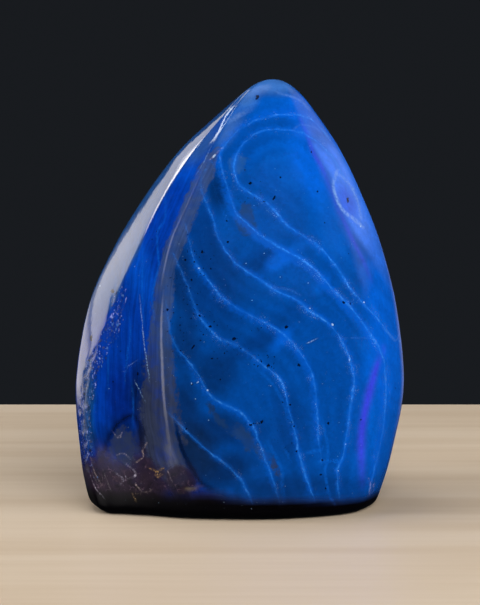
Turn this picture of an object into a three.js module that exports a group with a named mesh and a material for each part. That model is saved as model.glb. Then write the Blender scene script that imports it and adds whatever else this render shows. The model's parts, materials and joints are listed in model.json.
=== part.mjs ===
// Blue amber freeform: one solid piece of amber, ground and polished into a leaning flame shape that
// stands on a flat sawn base.
//
// Millimetres, +Z up. The broad polished front looks toward -Y, the long bevel is on the -X side, and
// the origin is the middle of the base.
//
// The stone is a loft. Its hand-ground faces meet along a few edge lines that all run up to the tip.
// At each height those lines give the corners of a section, and a weighted B-spline through the
// corners rounds them as polishing does.

import * as THREE from 'three';

// ---------------------------------------------------------------------------
// Driving dimensions
// ---------------------------------------------------------------------------

const HEIGHT = 110;
const TIP = { x: 8.5, y: 1.0 };

// Each edge line starts at the tip and lists [height, x, y] on its way down to the base.
// weight: how hard the polished surface is pulled to the line (1 is soft, 4 is a crisp ridge).
// bulge: how far the face from this line to the next one stands out of flat, as a share of its width.
// steps: how many facets cross that face.
const EDGE_LINES = [
  {
    name: 'front ridge', weight: 3.2, bulge: 0.085, steps: 18,
    stations: [
      [101, -2.2, -5.8], [92, -7.0, -11.3], [79, -13.0, -17.5], [66, -18.4, -22.5],
      [50, -20.8, -26.0], [32, -20.0, -28.0], [14, -17.6, -28.5], [0, -15.6, -28.0],
    ],
  },
  {
    name: 'right shoulder', weight: 1.0, bulge: 0.05, steps: 8,
    stations: [
      [101, 14.0, -6.0], [92, 18.5, -9.5], [79, 23.5, -13.5], [66, 27.5, -17.0],
      [50, 31.0, -20.0], [32, 32.6, -22.0], [14, 31.6, -23.0], [0, 28.6, -23.5],
    ],
  },
  {
    name: 'right edge', weight: 1.6, bulge: 0.06, steps: 8,
    stations: [
      [101, 20.4, 1.5], [92, 26.6, 1.5], [79, 33.0, 1.0], [66, 38.0, 0.0],
      [50, 42.0, -1.0], [32, 43.8, -3.0], [14, 40.4, -6.5], [0, 35.8, -11.0],
    ],
  },
  {
    name: 'back right', weight: 1.0, bulge: 0.05, steps: 12,
    stations: [[101, 15.0, 8.5], [79, 22.5, 15.5], [50, 28.0, 21.0], [30, 29.5, 23.5], [0, 26.0, 23.5]],
  },
  {
    name: 'back left', weight: 1.8, bulge: 0.05, steps: 10,
    stations: [[101, 3.0, 9.5], [79, -10.0, 16.5], [50, -22.0, 22.5], [30, -25.0, 25.0], [0, -23.0, 25.0]],
  },
  {
    name: 'left edge', weight: 2.6, bulge: 0.02, steps: 7,
    stations: [
      [107, 1.4, 2.0], [101, -6.0, 3.0], [92, -16.0, 4.0], [79, -26.0, 4.0], [66, -34.0, 2.5],
      [50, -40.8, 0.5], [32, -43.6, -3.0], [14, -42.0, -8.5], [0, -39.4, -14.0],
    ],
  },
  {
    name: 'bevel edge', weight: 3.0, bulge: -0.04, steps: 9,
    stations: [
      [101, -4.2, -3.0], [92, -11.6, -7.2], [79, -20.2, -11.2], [66, -26.4, -14.8],
      [50, -33.2, -15.0], [32, -38.6, -16.5], [14, -38.8, -19.5], [0, -36.0, -23.0],
    ],
  },
];

// Radius of the rounded edge around the flat base, at its left and right ends.
const BASE_ROUNDING = { left: 4, right: 2.6 };

// Heights between which the wall's rings of facets are evenly spaced. Below them are the rings of the
// rounded base edge, and above them the rings that close in on the tip.
const WALL_FOOT = 8;
const WALL_HEAD = 100;
const BASE_RINGS = 5;
const WALL_RINGS = 46;
const TIP_RINGS = 6;

const AMBER = { color: 0x0a3f9e, roughness: 0.08, metalness: 0 };

// ---------------------------------------------------------------------------
// Edge lines
// ---------------------------------------------------------------------------

// Near a rounded tip the width grows with the square root of the depth below it, so the lines are
// curves over that root: plain smooth curves there make a round tip with no cap of its own.
const depthRoot = (height) => Math.sqrt(HEIGHT - height);

// Each line is one smooth curve of (root of depth, x, y).
function lineCurve(line) {
  const below = line.stations.map(([height, x, y]) => new THREE.Vector3(depthRoot(height), x, y));
  return new THREE.CatmullRomCurve3([new THREE.Vector3(0, TIP.x, TIP.y), ...below], false, 'centripetal');
}

// The point of a line at one height, found by halving the curve's parameter range.
function pointAtHeight(curve, height) {
  const wanted = depthRoot(height);
  let low = 0;
  let high = 1;
  for (let round = 0; round < 40; round += 1) {
    const middle = (low + high) / 2;
    if (curve.getPoint(middle).x < wanted) low = middle;
    else high = middle;
  }
  const found = curve.getPoint((low + high) / 2);
  return new THREE.Vector2(found.y, found.z);
}

const lineCurves = EDGE_LINES.map(lineCurve);

// ---------------------------------------------------------------------------
// Sections
// ---------------------------------------------------------------------------

// Control points of one section: every corner with its weight, and two points on each face, pushed
// out by the face's bulge.
function sectionControls(height) {
  const corners = lineCurves.map((curve) => pointAtHeight(curve, height));
  return corners.flatMap((corner, index) => {
    const next = corners[(index + 1) % corners.length];
    const along = next.clone().sub(corner);
    const outward = new THREE.Vector2(along.y, -along.x).multiplyScalar(EDGE_LINES[index].bulge);
    const facePoint = (share) => {
      const point = corner.clone().addScaledVector(along, share).add(outward);
      return { point, weight: 1 };
    };
    return [{ point: corner, weight: EDGE_LINES[index].weight }, facePoint(1 / 3), facePoint(2 / 3)];
  });
}

// A point of the closed, weighted, uniform cubic B-spline. The parameter counts control points.
function splinePoint(controls, parameter) {
  const span = Math.floor(parameter);
  const t = parameter - span;
  const basis = [
    (1 - t) ** 3 / 6,
    (3 * t ** 3 - 6 * t ** 2 + 4) / 6,
    (-3 * t ** 3 + 3 * t ** 2 + 3 * t + 1) / 6,
    t ** 3 / 6,
  ];
  const sum = new THREE.Vector2();
  let total = 0;
  basis.forEach((share, offset) => {
    const control = controls[(span + offset - 1 + controls.length) % controls.length];
    sum.addScaledVector(control.point, share * control.weight);
    total += share * control.weight;
  });
  return sum.divideScalar(total);
}

// Where the columns of facets stand around a section, as parameters of its B-spline, counter-clockwise
// from above.
const CONTROLS_PER_FACE = 3;
const COLUMNS = EDGE_LINES.flatMap((line, index) =>
  Array.from({ length: line.steps }, (_, step) => CONTROLS_PER_FACE * (index + step / line.steps)));

// ---------------------------------------------------------------------------
// Rings from the base to the tip
// ---------------------------------------------------------------------------

function wallRing(height) {
  const controls = sectionControls(height);
  return COLUMNS.map((parameter) => {
    const point = splinePoint(controls, parameter);
    return new THREE.Vector3(point.x, point.y, height);
  });
}

// The base edge is a quarter round, turned from 0 at the flat base to a right angle at the wall. Its
// radius grows from the left side to the right side, and it draws the leaning wall in toward the
// middle of the foot.
function baseRing(turn) {
  const foot = new THREE.Box3().setFromPoints(wallRing(0));
  const middle = foot.getCenter(new THREE.Vector3());
  const half = foot.getSize(new THREE.Vector3()).multiplyScalar(0.5);
  return wallRing(0).map((footPoint, column) => {
    const across = (footPoint.x - foot.min.x) / (2 * half.x);
    const radius = THREE.MathUtils.lerp(BASE_ROUNDING.left, BASE_ROUNDING.right, across);
    const height = radius * (1 - Math.cos(turn));
    const inset = radius * (1 - Math.sin(turn));
    const wall = splinePoint(sectionControls(height), COLUMNS[column]);
    const x = middle.x + (wall.x - middle.x) * (1 - inset / half.x);
    const y = middle.y + (wall.y - middle.y) * (1 - inset / half.y);
    return new THREE.Vector3(x, y, height);
  });
}

function allRings() {
  const rings = [];
  for (let ring = 0; ring < BASE_RINGS; ring += 1) {
    rings.push(baseRing((Math.PI / 2) * (ring / BASE_RINGS)));
  }
  for (let ring = 0; ring <= WALL_RINGS; ring += 1) {
    rings.push(wallRing(THREE.MathUtils.lerp(WALL_FOOT, WALL_HEAD, ring / WALL_RINGS)));
  }
  for (let ring = 1; ring <= TIP_RINGS; ring += 1) {
    const root = depthRoot(WALL_HEAD) * (1 - ring / (TIP_RINGS + 1));
    rings.push(wallRing(HEIGHT - root ** 2));
  }
  return rings;
}

// ---------------------------------------------------------------------------
// The closed solid
// ---------------------------------------------------------------------------

function stoneGeometry() {
  const rings = allRings();
  const count = rings[0].length;
  const footMiddle = rings[0].reduce((sum, point) => sum.add(point), new THREE.Vector3());
  footMiddle.divideScalar(count);
  const points = [...rings.flat(), footMiddle, new THREE.Vector3(TIP.x, TIP.y, HEIGHT)];
  const footIndex = points.length - 2;
  const tipIndex = points.length - 1;
  const faces = [];
  for (let around = 0; around < count; around += 1) {
    const beside = (around + 1) % count;
    faces.push(footIndex, beside, around);
    for (let ring = 0; ring + 1 < rings.length; ring += 1) {
      const low = ring * count;
      const high = low + count;
      faces.push(low + around, low + beside, high + beside);
      faces.push(low + around, high + beside, high + around);
    }
    const top = (rings.length - 1) * count;
    faces.push(top + around, top + beside, tipIndex);
  }
  const geometry = new THREE.BufferGeometry().setFromPoints(points);
  geometry.setIndex(faces);
  geometry.computeBoundingBox();
  const middle = geometry.boundingBox.getCenter(new THREE.Vector3());
  geometry.translate(-middle.x, -middle.y, 0);
  geometry.computeVertexNormals();
  return geometry;
}

const stone = new THREE.Mesh(stoneGeometry(), new THREE.MeshStandardMaterial(AMBER));
stone.name = 'amber_stone';

const specimen = new THREE.Group();
specimen.add(stone);

export default specimen;
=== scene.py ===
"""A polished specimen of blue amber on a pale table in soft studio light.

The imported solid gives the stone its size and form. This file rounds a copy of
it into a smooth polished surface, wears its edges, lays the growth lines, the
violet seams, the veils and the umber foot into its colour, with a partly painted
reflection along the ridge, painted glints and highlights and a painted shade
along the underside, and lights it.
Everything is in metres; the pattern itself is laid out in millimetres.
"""
import json
import logging
import math
from dataclasses import dataclass, field
from enum import Enum
from functools import reduce
from typing import Sequence

import bpy
import numpy as np
from mathutils import Euler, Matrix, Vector, noise
from mathutils.kdtree import KDTree

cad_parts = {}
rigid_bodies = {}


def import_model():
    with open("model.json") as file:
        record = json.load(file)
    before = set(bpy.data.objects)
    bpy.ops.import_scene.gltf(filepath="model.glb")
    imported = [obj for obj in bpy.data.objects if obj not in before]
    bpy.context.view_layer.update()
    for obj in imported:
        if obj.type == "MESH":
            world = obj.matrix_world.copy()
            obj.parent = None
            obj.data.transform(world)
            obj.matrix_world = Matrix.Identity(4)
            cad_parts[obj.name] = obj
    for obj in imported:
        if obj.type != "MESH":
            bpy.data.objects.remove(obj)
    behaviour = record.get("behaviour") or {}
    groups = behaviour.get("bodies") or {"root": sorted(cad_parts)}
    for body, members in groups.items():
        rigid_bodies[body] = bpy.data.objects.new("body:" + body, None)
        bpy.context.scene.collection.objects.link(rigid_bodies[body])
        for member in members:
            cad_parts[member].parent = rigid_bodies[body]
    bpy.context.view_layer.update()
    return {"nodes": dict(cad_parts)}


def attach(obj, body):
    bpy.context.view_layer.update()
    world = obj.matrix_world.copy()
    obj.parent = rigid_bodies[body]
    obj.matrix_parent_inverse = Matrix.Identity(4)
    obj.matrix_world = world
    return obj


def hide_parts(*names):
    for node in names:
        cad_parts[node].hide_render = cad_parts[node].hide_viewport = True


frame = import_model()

MM = 0.001
# Width scale in millimetres of the mauve band along the ridge, which is partly a painted reflection.
VEIL_AND_SHEEN_WIDTH = 8.0
# Heights in millimetres at which the painted shade along the underside starts and is full.
SHADE_TOP = 8.6
SHADE_FULL = 4.0
LOG = logging.getLogger("blue_amber")

Colour = tuple[float, float, float]
SpotRow = tuple[float, float, float]


def linear(colour: Colour) -> np.ndarray:
    """Turns a colour as seen on a screen, 0 to 255, into linear light from 0 to 1."""
    value = np.asarray(colour, dtype=float) / 255.0
    return np.where(value <= 0.04045, value / 12.92, ((value + 0.055) / 1.055) ** 2.4)


def paint(colour: Colour) -> tuple[float, ...]:
    """A screen colour as a socket takes it."""
    return (*(float(value) for value in linear(colour)), 1.0)


def lay_over(body: np.ndarray, colour: Colour, cover: np.ndarray) -> np.ndarray:
    """Lays a screen colour over linear ones, by the cover at each point."""
    return body * (1.0 - cover[:, None]) + linear(colour) * cover[:, None]


def smooth_step(value: np.ndarray, low: float, high: float) -> np.ndarray:
    """Rises softly from 0 at low to 1 at high, and falls when low is the larger."""
    share = np.clip((value - low) / (high - low), 0.0, 1.0)
    return share * share * (3.0 - 2.0 * share)


def wander(points: np.ndarray, size: float, seed: float) -> np.ndarray:
    """Smooth noise from -1 to 1 at each point, with blotches of the given size."""
    return np.array([noise.noise(Vector(place)) for place in points / size + seed])


# --------------------------------------------------------------------------
# The pattern in the stone
# --------------------------------------------------------------------------


@dataclass(frozen=True)
class GrowthLine:
    """One line in the stone, as it shows on the polished front.

    Attributes:
        name: what the line is called.
        spots: x, z and brightness from 0 to 1 along the line, in millimetres.
        width: how wide the line is, 1 for a growth line and less for a scratch.
        white: how whitish the line is, from 0 azure to 1 white.
        glow: strength of the soft glow beside it.
        glow_left: reach of the glow on the left of the way it runs.
        glow_right: reach of the glow on the right of it.
    """

    name: str
    spots: tuple[SpotRow, ...]
    width: float = 1.0
    white: float = 0.0
    glow: float = 0.0
    glow_left: float = 1.0
    glow_right: float = 1.0

    def trace(self, step: float = 0.2) -> tuple[np.ndarray, np.ndarray, np.ndarray]:
        """Walks a smooth curve through the spots.

        Args:
            step: distance between two samples in millimetres.

        Returns:
            The places, the directions and the brightness of the samples.
        """
        spots = np.array(self.spots, dtype=float)
        knots = np.vstack([2.0 * spots[0] - spots[1], spots, 2.0 * spots[-1] - spots[-2]])
        rows = []
        for before, start, end, after in zip(knots, knots[1:], knots[2:], knots[3:]):
            count = max(2, int(np.linalg.norm(end[:2] - start[:2]) / step))
            t = np.linspace(0.0, 1.0, count, endpoint=False)[:, None]
            rows.append(0.5 * (2.0 * start + (end - before) * t
                               + (2.0 * before - 5.0 * start + 4.0 * end - after) * t ** 2
                               + (3.0 * start - before - 3.0 * end + after) * t ** 3))
        walk = np.vstack([*rows, spots[-1:]])
        heading = np.gradient(walk[:, :2], axis=0)
        heading /= np.linalg.norm(heading, axis=1)[:, None] + 1e-9
        return walk[:, :2], heading, np.clip(walk[:, 2], 0.0, 1.0)


class LineFamily:
    """A set of lines, and what the nearest of them says at each point of the stone.

    Attributes:
        side: signed distance from the nearest line, positive on its left.
        reach: distance from it.
        brightness: its brightness there.
    """

    def __init__(self, sheet: np.ndarray, *lines: GrowthLine) -> None:
        """Finds the nearest line for each point.

        Args:
            sheet: x and z of each point in millimetres.
            lines: the lines of the family.
        """
        self.lines = lines
        traces = [line.trace() for line in lines]
        places, headings, brightness = (np.concatenate(parts) for parts in zip(*traces))
        owner = np.concatenate([np.full(len(trace[0]), index) for index, trace in enumerate(traces)])
        tree = KDTree(len(places))
        for index, (x, z) in enumerate(places):
            tree.insert((x, z, 0.0), index)
        tree.balance()
        found = [tree.find((x, z, 0.0)) for x, z in sheet]
        index = np.array([hit[1] for hit in found])
        offset = sheet - places[index]
        heading = headings[index]
        self.side = heading[:, 0] * offset[:, 1] - heading[:, 1] * offset[:, 0]
        self.reach = np.array([hit[2] for hit in found])
        self.brightness = brightness[index]
        self.line = owner[index]

    def trait(self, name: str) -> np.ndarray:
        """Gives each point one value of its nearest line, by the name of its field."""
        return np.array([getattr(line, name) for line in self.lines])[self.line]


@dataclass(frozen=True)
class Speck:
    """One single fleck, by its place on the front.

    Attributes:
        x: middle, in millimetres from the axis.
        z: middle, in millimetres above the foot.
        wide: half width in millimetres.
        high: half height in millimetres.
        lean: turn in degrees, positive leans its top to the left.
    """

    x: float
    z: float
    wide: float
    high: float
    lean: float = 0.0

    def offset(self, sheet: np.ndarray) -> tuple[np.ndarray, np.ndarray]:
        """Measures how far each point lies from the fleck, in its half widths.

        Args:
            sheet: x and z of each point in millimetres.

        Returns:
            The distances across and along the fleck.
        """
        turn = math.radians(self.lean)
        dx, dz = sheet[:, 0] - self.x, sheet[:, 1] - self.z
        return ((dx * math.cos(turn) + dz * math.sin(turn)) / self.wide,
                (dz * math.cos(turn) - dx * math.sin(turn)) / self.high)


@dataclass(frozen=True)
class Wash:
    """One soft pool of colour in the body of the stone.

    Attributes:
        name: what the pool is.
        x, z, wide, high, lean: its place and size, as for a speck.
        colour: screen colour from 0 to 255.
        strength: how far it covers what lies under it, 0 to 1.
        ragged: how far its edge wanders, as a share of its size.
    """

    name: str
    x: float
    z: float
    wide: float
    high: float
    lean: float
    colour: Colour
    strength: float = 1.0
    ragged: float = 0.3

    def cover(self, sheet: np.ndarray, blot: np.ndarray) -> np.ndarray:
        """Works out how much of the pool shows at each point.

        Args:
            sheet: x and z of each point in millimetres.
            blot: noise from -1 to 1 at each point.

        Returns:
            The cover from 0 to the pool's strength.
        """
        across, along = Speck(self.x, self.z, self.wide, self.high, self.lean).offset(sheet)
        return self.strength * smooth_step(np.hypot(across, along) + self.ragged * blot, 1.3, 0.3)


def fine_lines(*rows: tuple) -> tuple[GrowthLine, ...]:
    """Makes a line from each row of its name, spots, width and whiteness."""
    return tuple(GrowthLine(*row) for row in rows)


def specks(*rows: tuple[float, ...]) -> tuple[Speck, ...]:
    """Makes a speck from each row of its values."""
    return tuple(Speck(*row) for row in rows)


OUTER_LINES = (
    GrowthLine("outer loop", (
        (27.6, 86.5, 0.2), (26.2, 90.2, 0.5), (23.8, 93.8, 0.6), (21, 97.2, 0.8), (18, 99.8, 0.85),
        (14.5, 100.7, 0.8), (9, 100.6, 0.7), (4, 99.2, 0.55), (0, 97, 0.5), (-3, 94, 0.5), (-5, 91, 0.5),
        (-4.7, 87.5, 0.55), (-3, 82, 0.6), (-1, 76.5, 0.7), (2, 73.5, 0.75), (5.5, 70.5, 0.85),
        (10.5, 67.5, 0.95), (15, 65, 1), (19.5, 61.5, 0.95), (22.5, 58, 0.85), (27, 53.5, 0.85),
        (31, 48.5, 0.85), (34, 44, 0.9), (36, 40.5, 0.95), (36.9, 35.5, 0.9), (37.2, 31, 0.85),
        (36.8, 23.5, 0.8), (35.8, 17, 0.75), (34.5, 12, 0.7), (33.5, 8, 0.6)),
        glow=0.75, glow_left=0.8, glow_right=2.2),
    GrowthLine("long sweep", (
        (-8.5, 87.5, 0.2), (-10, 84, 0.4), (-8.8, 79.5, 0.5), (-7, 75.5, 0.6), (-5.5, 70.5, 0.65),
        (-3.5, 67, 0.7), (-1, 64, 0.8), (2.5, 61.5, 0.9), (6.5, 59, 0.95), (9, 57.2, 0.9), (14, 55, 0.9),
        (17.5, 52, 0.95), (21.5, 49.5, 0.9), (24, 46.5, 0.8), (26, 43.5, 0.85), (27.8, 38.5, 0.95),
        (28.5, 34.5, 0.95), (28, 30, 0.9), (26.8, 21.5, 0.8), (26, 16, 0.85), (24.5, 12.5, 0.7),
        (24.5, 8.5, 0.6), (25, 4.5, 0.4)), glow=0.5, glow_left=1.4, glow_right=1),
    GrowthLine("left sweep", (
        (-15.5, 64, 0.25), (-13.5, 59.5, 0.5), (-11.5, 54.5, 0.6), (-10, 51, 0.7), (-7.5, 48, 0.7),
        (-5, 45.5, 0.65), (-2.5, 44.7, 0.75), (0, 43.5, 0.7), (4.5, 40.2, 0.8), (6.5, 38.5, 0.85),
        (9.5, 36, 0.85), (11, 33, 0.8), (12, 28.5, 0.75), (13.5, 23, 0.8), (14.5, 17.5, 0.85),
        (16, 12.5, 0.8), (17.5, 8, 0.75), (19, 4, 0.4)), glow=0.5, glow_left=0.9, glow_right=1.5),
    GrowthLine("foot sweep", (
        (-16, 25.5, 0.3), (-13, 22.5, 0.6), (-10.5, 20, 0.65), (-7, 17, 0.75), (-4, 15, 0.75),
        (-2, 13, 0.75), (0.5, 10.3, 0.7), (2, 7, 0.4)), glow=0.35, glow_left=1.2, glow_right=0.7),
)

INNER_LINES = (
    GrowthLine("inner loop", (
        (28, 79.5, 0.1), (27.2, 83.6, 0.4), (25, 88, 0.6), (22, 91.8, 0.7), (18.2, 95, 0.8),
        (14, 96.6, 0.75), (9, 97, 0.7), (5, 96.5, 0.7), (1.5, 94, 0.75), (-1, 90.5, 0.8), (-1.5, 87, 0.85),
        (-0.5, 83.5, 0.85), (2, 81.5, 0.8), (5.5, 79.5, 0.8), (8.5, 77, 0.8), (12, 73, 0.9),
        (17.5, 69.5, 0.95), (20.5, 67, 0.9), (24, 63, 0.85), (28, 57, 0.85), (31.5, 53, 0.85),
        (35.5, 48.5, 0.75), (38.5, 44.5, 0.7), (41, 42.5, 0.6)), glow=0.45, glow_left=1, glow_right=1.4),
    GrowthLine("middle sweep", (
        (-13, 71, 0.3), (-11.5, 65, 0.5), (-10, 62.5, 0.65), (-7.5, 59.5, 0.7), (-5.5, 56.8, 0.75),
        (-2.5, 54.2, 0.8), (0.5, 52.5, 0.75), (5, 50.2, 0.8), (8.5, 48.2, 0.9), (11, 46.5, 0.95),
        (13.5, 43.8, 0.95), (15.5, 41, 0.9), (17.5, 37.5, 0.85), (18.5, 34, 0.85), (19, 29, 0.8),
        (19.5, 21, 0.75), (20, 16.5, 0.35)), glow=0.6, glow_left=0.9, glow_right=2),
    GrowthLine("low sweep", (
        (-18, 52.5, 0.2), (-17.3, 47, 0.4), (-15.3, 43, 0.5), (-12, 39, 0.65), (-10, 36, 0.75),
        (-8, 32.5, 0.8), (-5.5, 30.2, 0.75), (-2.5, 29, 0.8), (0, 27.6, 0.85), (2, 25.5, 0.8),
        (3.5, 23.5, 0.8), (4.8, 20, 0.75), (6.2, 16, 0.8), (7.5, 12.5, 0.75), (8.5, 9.5, 0.65),
        (9.5, 6, 0.4)), glow=0.5, glow_left=0.8, glow_right=2),
)

FINE_LINES = fine_lines(
    ("second middle sweep", ((20, 26.5, 0.1), (20.8, 23.5, 0.5), (21.6, 20, 0.6), (22, 15.5, 0.55),
     (21.2, 12.5, 0.55), (21.6, 9.5, 0.6), (22.5, 5.8, 0.5), (23.5, 4, 0.2))),
    ("crown arc", ((8.8, 106.8, 0.1), (11, 106, 0.5), (15, 104.8, 0.5), (17.5, 102.6, 0.3)), 0.8, 0.4),
    ("loop bridge", ((14, 97.2, 0.25), (15.6, 98.2, 0.45), (19, 97.6, 0.35), (21.4, 96, 0.1)), 0.7, 0.2),
    # The streak across the crown at z 99 to 102 is a painted highlight, a hazy branch of the crown's
    # highlight.
    ("crown haze streak", ((-4, 98.8, 0.15), (-2, 99.5, 0.4), (0, 100.8, 0.4), (2.5, 102, 0.1)), 1.6, 0.6),
    ("left parallel", ((4, 38, 0), (6, 36.6, 0.4), (8.3, 34.2, 0.5), (10.2, 30.8, 0.5), (11.4, 27.5, 0.35),
     (12.6, 22.8, 0))),
    ("low parallel", ((6.5, 21.5, 0), (7.8, 18.6, 0.4), (9.3, 15.5, 0.5), (10.4, 12.8, 0.45),
     (10.5, 9.5, 0.4), (10.9, 5.8, 0.1)), 1.3),
    ("side seam one", ((-24.6, 67, 0.2), (-24.6, 62, 0.5), (-24.6, 56.5, 0.55), (-24.2, 49.5, 0.3)), 0.7),
    ("side seam two", ((-19, 80, 0.2), (-19, 74.5, 0.5), (-20.8, 71.5, 0.6), (-20.7, 67, 0.6),
     (-20.3, 63, 0.6), (-21.8, 56.5, 0.5), (-21.4, 51, 0.3)), 0.8),
    ("side seam five", ((-33.6, 42.5, 0.1), (-33.4, 37, 0.4), (-33.5, 31.5, 0.1)), 0.7),
    ("side seam six", ((-27.2, 34, 0.1), (-26.8, 28.5, 0.45), (-27, 23, 0.1)), 0.7),
    ("level mark one", ((15.6, 17, 0.2), (18, 17.3, 0.7), (20.2, 17.4, 0.5)), 1.3),
    ("rim hook", ((37, 46.2, 0.2), (38.6, 44.6, 0.5), (40, 42.8, 0.6), (41.4, 43.6, 0.5), (41.2, 46, 0.2)),
     0.7, 0.2),
    ("eye left rim", ((24.8, 85.8, 0.5), (23.9, 83, 0.7), (24.6, 79.6, 0.9), (26.4, 76.4, 0.9),
     (29.2, 74.2, 0.8), (31.2, 72.4, 0.6)), 1.1, 0.75),
)

THIN_LINES = fine_lines(
    ("short low streak", ((10.6, 19.5, 0.1), (11.6, 17.2, 0.45), (12.7, 14.2, 0.1))),
    ("side white seam", ((-25.2, 55, 0.2), (-24.6, 49.5, 0.7), (-24.2, 46, 0.9), (-23.6, 41.5, 0.9),
     (-22.9, 37.6, 0.8), (-22.6, 35, 0.2)), 0.4, 0.9),
    ("side seam four", ((-28.2, 52, 0.1), (-27.6, 46, 0.5), (-28.3, 40, 0.5), (-29, 34, 0.2)), 0.7),
    ("side scratch", ((-26, 33.8, 0.5), (-25.2, 32.2, 0.8), (-24, 30, 0.3)), 0.34, 1),
    ("side scratch two", ((-28.9, 36.9, 0.3), (-27.6, 38.2, 0.6), (-26.3, 39.2, 0.2)), 0.25, 0.7),
    ("ridge white beads", ((-7.6, 92.2, 0.3), (-9, 89.2, 0.6), (-10.6, 86.4, 0.3)), 0.34, 0.8),
    ("front scratch", ((17, 44.4, 0.7), (18, 44.8, 1), (18.8, 45.1, 0.6)), 0.3, 1),
    ("faint scratch", ((26.6, 45.1, 0.2), (29, 45, 0.5), (31.8, 44.7, 0.3)), 0.3, 0.35),
    ("level mark two", ((20, 14.6, 0.3), (22.4, 14.5, 0.8), (25.2, 14.5, 0.6)), 1.3),
    ("twin below middle sweep", ((9.5, 57.9, 0.1), (12, 57.6, 0.5), (14.6, 56.4, 0.3)), 0.7, 0.2),
    ("eye right rim", ((24.8, 85.8, 0.4), (27.4, 84, 0.6), (29.4, 81.2, 0.65), (30.6, 77.6, 0.6),
     (31.2, 74.6, 0.6)), 1, 0.65),
)

VIOLET_SEAMS = fine_lines(
    ("long violet seam", ((36.4, 41.5, 0.3), (35.4, 38.8, 0.85), (34, 35.5, 0.95), (32.2, 29.5, 1),
     (30.8, 22.5, 1), (30.6, 16, 0.85), (30.9, 10.5, 0.4), (31.2, 7, 0.1)), 0.95),
    ("crown violet seam", ((15.4, 99.8, 0.25), (17.2, 95.8, 0.35), (18.7, 91.2, 0.6), (20.6, 88, 0.6),
     (22, 84.8, 0.3), (24.4, 78, 0.25), (26.4, 74, 0.45), (28.4, 69.6, 0.5), (31, 64.5, 0.4),
     (33.6, 58.5, 0.15)), 0.5),
)

PALE_SIDE = GrowthLine("left edge of the pale flank", (
    (14, 102, 1), (16, 97.5, 1), (18, 92.6, 1), (20.2, 88.6, 1), (22.8, 84.6, 1), (23.6, 80.6, 1),
    (25.8, 76, 1), (28.4, 71.2, 1), (31.6, 66.2, 1), (35.2, 60.6, 1), (39, 54, 1)))

RIDGE = GrowthLine("ridge", (
    (3.5, 107.5, 1), (-2.5, 101.5, 1), (-6, 94, 1), (-9, 86.5, 1), (-12.5, 77, 1), (-15.5, 71, 1),
    (-18, 65, 1), (-19.2, 57.5, 1), (-19.6, 47.5, 1), (-19.2, 38, 1), (-18.2, 30.5, 1), (-17.3, 23, 1),
    (-15, 15.5, 1), (-11.5, 11.5, 1), (-6, 7, 1), (0, 3, 1)))

BEVEL_EDGE = GrowthLine("bevel edge", (
    (-2, 102, 1), (-7.8, 97, 1), (-10.8, 93.6, 1), (-16, 85.5, 1), (-19.8, 79.3, 1), (-23.3, 73.1, 1),
    (-25.3, 67, 1), (-28.8, 60.8, 1), (-31.3, 54.6, 1), (-34.8, 48.5, 1), (-37, 42.3, 1), (-39, 30, 1)))

WORN_EDGE = GrowthLine("worn edge", (
    (-30.6, 58.6, 0), (-31, 54, 0.55), (-31.9, 48.5, 0.7), (-34, 43.5, 0.55), (-37.2, 38, 0.85),
    (-39, 30.5, 1), (-39.6, 24, 1), (-39.4, 18, 0.95), (-38.4, 13, 0.6), (-37, 8.5, 0.3)))

DARK_SEAMS = fine_lines(
    ("foot seam", ((-16.2, 27, 0.3), (-15.4, 21.5, 0.9), (-13.7, 16.4, 1), (-11.7, 12.8, 1),
     (-9.4, 9.6, 1), (-5.6, 7.6, 0.4)), 0.7),
    ("dome rim", ((-34.6, 14, 0.5), (-33.4, 19, 0.8), (-30.6, 23.4, 0.9), (-27, 25.6, 0.9), (-25, 23, 0.9),
     (-24.6, 18.8, 0.7)), 0.7),
)

# Screen colours of the stone, 0 to 255.
MIDDLE_BLUE = (2, 77, 170)
SIDE_BLUE = (1, 58, 168)
CLEAR = (2, 91, 198)
BRIGHT = (4, 99, 222)
DEEP = (3, 57, 132)
NAVY = (7, 45, 102)
HAZE = (64, 120, 198)
PALE = (56, 122, 246)
SLATE = (32, 68, 124)
ROYAL = (2, 78, 198)
SIDE_DEEP = (2, 40, 138)
SIDE_NAVY = (5, 33, 90)
UMBER = (38, 25, 44)
# Painted shade along the underside of the foot.
UNDERSIDE_SHADE = (3, 1, 4)
VIOLET = (64, 66, 240)
BEVEL = (36, 88, 158)
# Mauve band along the ridge, high and low: a veil colour that is partly a painted reflection.
VEIL_AND_SHEEN_HIGH = (54, 77, 126)
VEIL_AND_SHEEN_LOW = (55, 65, 94)

# Screen colours that the finish lays on top: the glow, body and core of the growth lines, their beads,
# the fine lines from azure to white, the flecks, the foot's cracks, the painted glints of its crystals
# and cracks, and the worn edge.
SEAM = (3, 12, 46)
HALO = (5, 93, 214)
SOFT_LINE = (8, 104, 228)
CORE_LINE = (40, 132, 246)
HOT_LINE = (84, 158, 250)
BEAD = (170, 208, 250)
HAIR_AZURE = (12, 108, 230)
HAIR_WHITE = (150, 190, 240)
FLECK = (2, 9, 40)
DUST = (168, 204, 246)
FOOT_DARK = (14, 10, 26)
FOOT_BROWN = (44, 28, 50)
FOOT_PALE = (78, 56, 74)
FOOT_VIOLET = (32, 27, 66)
FOOT_CRACK = (138, 108, 132)
# Painted glint of the tiny crystals in the umber foot.
CRYSTAL_GLINT = (150, 138, 176)
GLINT_YELLOW = (236, 188, 100)
GLINT_LILAC = (196, 192, 222)
WORN_LILAC = (150, 162, 232)

# From which share of the worn flecks on each next colour is used.
WORN_TINTS = ((0.20, (58, 108, 176)), (0.44, (50, 52, 76)), (0.56, (5, 10, 34)))

# Cells per millimetre of each size of worn fleck, and how large a fleck grows in its cell.
WORN_SIZES = ((0.9, 0.40), (1.6, 0.46), (2.8, 0.48))

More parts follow.
